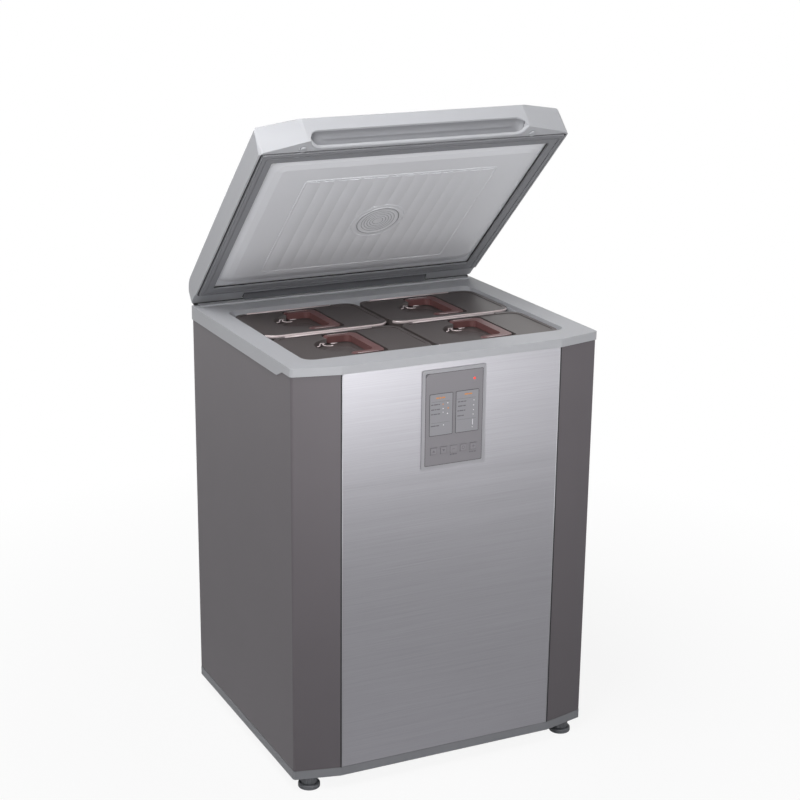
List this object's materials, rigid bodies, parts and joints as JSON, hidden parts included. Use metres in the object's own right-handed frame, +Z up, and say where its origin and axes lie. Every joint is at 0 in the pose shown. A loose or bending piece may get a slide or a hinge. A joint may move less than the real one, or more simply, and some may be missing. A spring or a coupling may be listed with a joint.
{
  "type": "kimchi refrigerator",
  "caption": "Top-opening kimchi refrigerator with a hinged lid held part open, lidded containers with folding handles in its well, a front control panel, levelling feet and rear rollers.",
  "frame": {"origin": "on the floor, under the middle of the footprint", "axes": "+Z up, the front with the control panel faces -Y, the hinge is at +Y, +X to the right seen from the front"},
  "size_m": [0.6, 0.5218, 1.1833],
  "materials": {
    "side_steel": "satin",
    "front_steel": "satin",
    "zinc_steel": "satin",
    "rim_plastic": "satin",
    "base_plastic": "satin",
    "liner_plastic": "satin",
    "foam": "matte",
    "copper": "satin",
    "black_metal": "satin",
    "plain_steel": "satin",
    "dark_rubber": "matte",
    "grey_rubber": "matte",
    "bezel_plastic": "satin",
    "overlay_plastic": "gloss",
    "window_plastic": "gloss",
    "key_plastic": "satin",
    "board_plastic": "satin",
    "hinge_plastic": "satin",
    "foot_plastic": "satin",
    "lid_plastic": "satin",
    "tub_plastic": "satin",
    "cover_plastic": "gloss",
    "handle_plastic": "gloss",
    "latch_plastic": "gloss"
  },
  "bodies": {
    "cabinet": {"side_panel_left": "side_steel", "side_panel_right": "side_steel", "front_panel": "front_steel", "back_panel": "zinc_steel", "top_rim": "rim_plastic", "inner_liner": "liner_plastic", "cabinet_foam": "foam", "cooling_coil": "copper", "base_ring": "base_plastic", "base_pan": "zinc_steel", "compressor": "black_metal", "compressor_mounts": "dark_rubber", "condenser": "black_metal", "dryer": "copper", "refrigerant_lines": "copper", "machine_cover": "zinc_steel", "cover_screws": "plain_steel", "power_inlet": "dark_rubber", "control_bezel": "bezel_plastic", "control_overlay": "overlay_plastic", "display_windows": "window_plastic", "control_board": "board_plastic", "hinge_housing": "hinge_plastic", "hinge_pins": "plain_steel", "torsion_bar": "plain_steel", "roller_brackets": "plain_steel", "lower_tubs": "tub_plastic", "lower_lids": "cover_plastic", "lower_handles": "handle_plastic"},
    "lid": {"lid_shell": "lid_plastic", "lid_foam": "foam", "lid_liner": "liner_plastic", "lid_gasket": "grey_rubber", "lid_vent_cap": "liner_plastic", "lid_bumpers": "lid_plastic"},
    "key_1": {"key_1": "key_plastic"},
    "key_2": {"key_2": "key_plastic"},
    "key_3": {"key_3": "key_plastic"},
    "key_4": {"key_4": "key_plastic"},
    "key_5": {"key_5": "key_plastic"},
    "foot_left": {"foot_left": "foot_plastic"},
    "foot_right": {"foot_right": "foot_plastic"},
    "roller_left": {"roller_left": "dark_rubber"},
    "roller_right": {"roller_right": "dark_rubber"},
    "rear_left_tub": {"rear_left_tub": "tub_plastic"},
    "rear_left_lid": {"rear_left_lid": "cover_plastic"},
    "rear_left_handle": {"rear_left_handle": "handle_plastic"},
    "rear_left_latch": {"rear_left_latch": "latch_plastic"},
    "rear_right_tub": {"rear_right_tub": "tub_plastic"},
    "rear_right_lid": {"rear_right_lid": "cover_plastic"},
    "rear_right_handle": {"rear_right_handle": "handle_plastic"},
    "rear_right_latch": {"rear_right_latch": "latch_plastic"},
    "front_left_tub": {"front_left_tub": "tub_plastic"},
    "front_left_lid": {"front_left_lid": "cover_plastic"},
    "front_left_handle": {"front_left_handle": "handle_plastic"},
    "front_left_latch": {"front_left_latch": "latch_plastic"},
    "front_right_tub": {"front_right_tub": "tub_plastic"},
    "front_right_lid": {"front_right_lid": "cover_plastic"},
    "front_right_handle": {"front_right_handle": "handle_plastic"},
    "front_right_latch": {"front_right_latch": "latch_plastic"}
  },
  "joints": [
    {"name": "lid_hinge", "type": "hinge", "parent": "cabinet", "child": "lid", "pos_m": [0, 0.244, 0.808], "axis": [-1, 0, 0], "range_deg": [-43.5, 36.5]},
    {"name": "key_1_press", "type": "slide", "parent": "cabinet", "child": "key_1", "axis": [0, 1, 0], "range_m": [0, 0.0006], "stiffness_N_per_m": 800, "springref_m": -0.001},
    {"name": "key_2_press", "type": "slide", "parent": "cabinet", "child": "key_2", "axis": [0, 1, 0], "range_m": [0, 0.0006], "stiffness_N_per_m": 800, "springref_m": -0.001},
    {"name": "key_3_press", "type": "slide", "parent": "cabinet", "child": "key_3", "axis": [0, 1, 0], "range_m": [0, 0.0006], "stiffness_N_per_m": 800, "springref_m": -0.001},
    {"name": "key_4_press", "type": "slide", "parent": "cabinet", "child": "key_4", "axis": [0, 1, 0], "range_m": [0, 0.0006], "stiffness_N_per_m": 800, "springref_m": -0.001},
    {"name": "key_5_press", "type": "slide", "parent": "cabinet", "child": "key_5", "axis": [0, 1, 0], "range_m": [0, 0.0006], "stiffness_N_per_m": 800, "springref_m": -0.001},
    {"name": "foot_left_screw", "type": "hinge", "parent": "cabinet", "child": "foot_left", "pos_m": [-0.263, -0.226, 0.02], "axis": [0, 0, 1], "continuous": true},
    {"name": "foot_right_screw", "type": "hinge", "parent": "cabinet", "child": "foot_right", "pos_m": [0.263, -0.226, 0.02], "axis": [0, 0, 1], "continuous": true},
    {"name": "roller_left_turn", "type": "hinge", "parent": "cabinet", "child": "roller_left", "pos_m": [-0.19, 0.198, 0.0125], "axis": [1, 0, 0], "continuous": true},
    {"name": "roller_right_turn", "type": "hinge", "parent": "cabinet", "child": "roller_right", "pos_m": [0.19, 0.198, 0.0125], "axis": [1, 0, 0], "continuous": true},
    {"name": "rear_left_tub_lift", "type": "slide", "parent": "cabinet", "child": "rear_left_tub", "axis": [0, 0, 1], "range_m": [0, 0.06]},
    {"name": "rear_left_lid_lift", "type": "slide", "parent": "rear_left_tub", "child": "rear_left_lid", "axis": [0, 0, 1], "range_m": [0, 0.06]},
    {"name": "rear_left_handle_turn", "type": "hinge", "parent": "rear_left_lid", "child": "rear_left_handle", "pos_m": [-0.1475, 0.07375, 0.7805], "axis": [0, -1, 0], "range_deg": [0, 90]},
    {"name": "rear_left_latch_turn", "type": "hinge", "parent": "rear_left_lid", "child": "rear_left_latch", "pos_m": [-0.1275, 0.152, 0.782], "axis": [1, 0, 0], "range_deg": [0, 25]},
    {"name": "rear_right_tub_lift", "type": "slide", "parent": "cabinet", "child": "rear_right_tub", "axis": [0, 0, 1], "range_m": [0, 0.06]},
    {"name": "rear_right_lid_lift", "type": "slide", "parent": "rear_right_tub", "child": "rear_right_lid", "axis": [0, 0, 1], "range_m": [0, 0.06]},
    {"name": "rear_right_handle_turn", "type": "hinge", "parent": "rear_right_lid", "child": "rear_right_handle", "pos_m": [0.1075, 0.07375, 0.7805], "axis": [0, -1, 0], "range_deg": [0, 90]},
    {"name": "rear_right_latch_turn", "type": "hinge", "parent": "rear_right_lid", "child": "rear_right_latch", "pos_m": [0.1275, 0.152, 0.782], "axis": [1, 0, 0], "range_deg": [0, 25]},
    {"name": "front_left_tub_lift", "type": "slide", "parent": "cabinet", "child": "front_left_tub", "axis": [0, 0, 1], "range_m": [0, 0.2]},
    {"name": "front_left_lid_lift", "type": "slide", "parent": "front_left_tub", "child": "front_left_lid", "axis": [0, 0, 1], "range_m": [0, 0.06]},
    {"name": "front_left_handle_turn", "type": "hinge", "parent": "front_left_lid", "child": "front_left_handle", "pos_m": [-0.1475, -0.11075, 0.7805], "axis": [0, -1, 0], "range_deg": [0, 90]},
    {"name": "front_left_latch_turn", "type": "hinge", "parent": "front_left_lid", "child": "front_left_latch", "pos_m": [-0.1275, -0.0325, 0.782], "axis": [1, 0, 0], "range_deg": [0, 25]},
    {"name": "front_right_tub_lift", "type": "slide", "parent": "cabinet", "child": "front_right_tub", "axis": [0, 0, 1], "range_m": [0, 0.2]},
    {"name": "front_right_lid_lift", "type": "slide", "parent": "front_right_tub", "child": "front_right_lid", "axis": [0, 0, 1], "range_m": [0, 0.06]},
    {"name": "front_right_handle_turn", "type": "hinge", "parent": "front_right_lid", "child": "front_right_handle", "pos_m": [0.1075, -0.11075, 0.7805], "axis": [0, -1, 0], "range_deg": [0, 90]},
    {"name": "front_right_latch_turn", "type": "hinge", "parent": "front_right_lid", "child": "front_right_latch", "pos_m": [0.1275, -0.0325, 0.782], "axis": [1, 0, 0], "range_deg": [0, 25]}
  ]
}
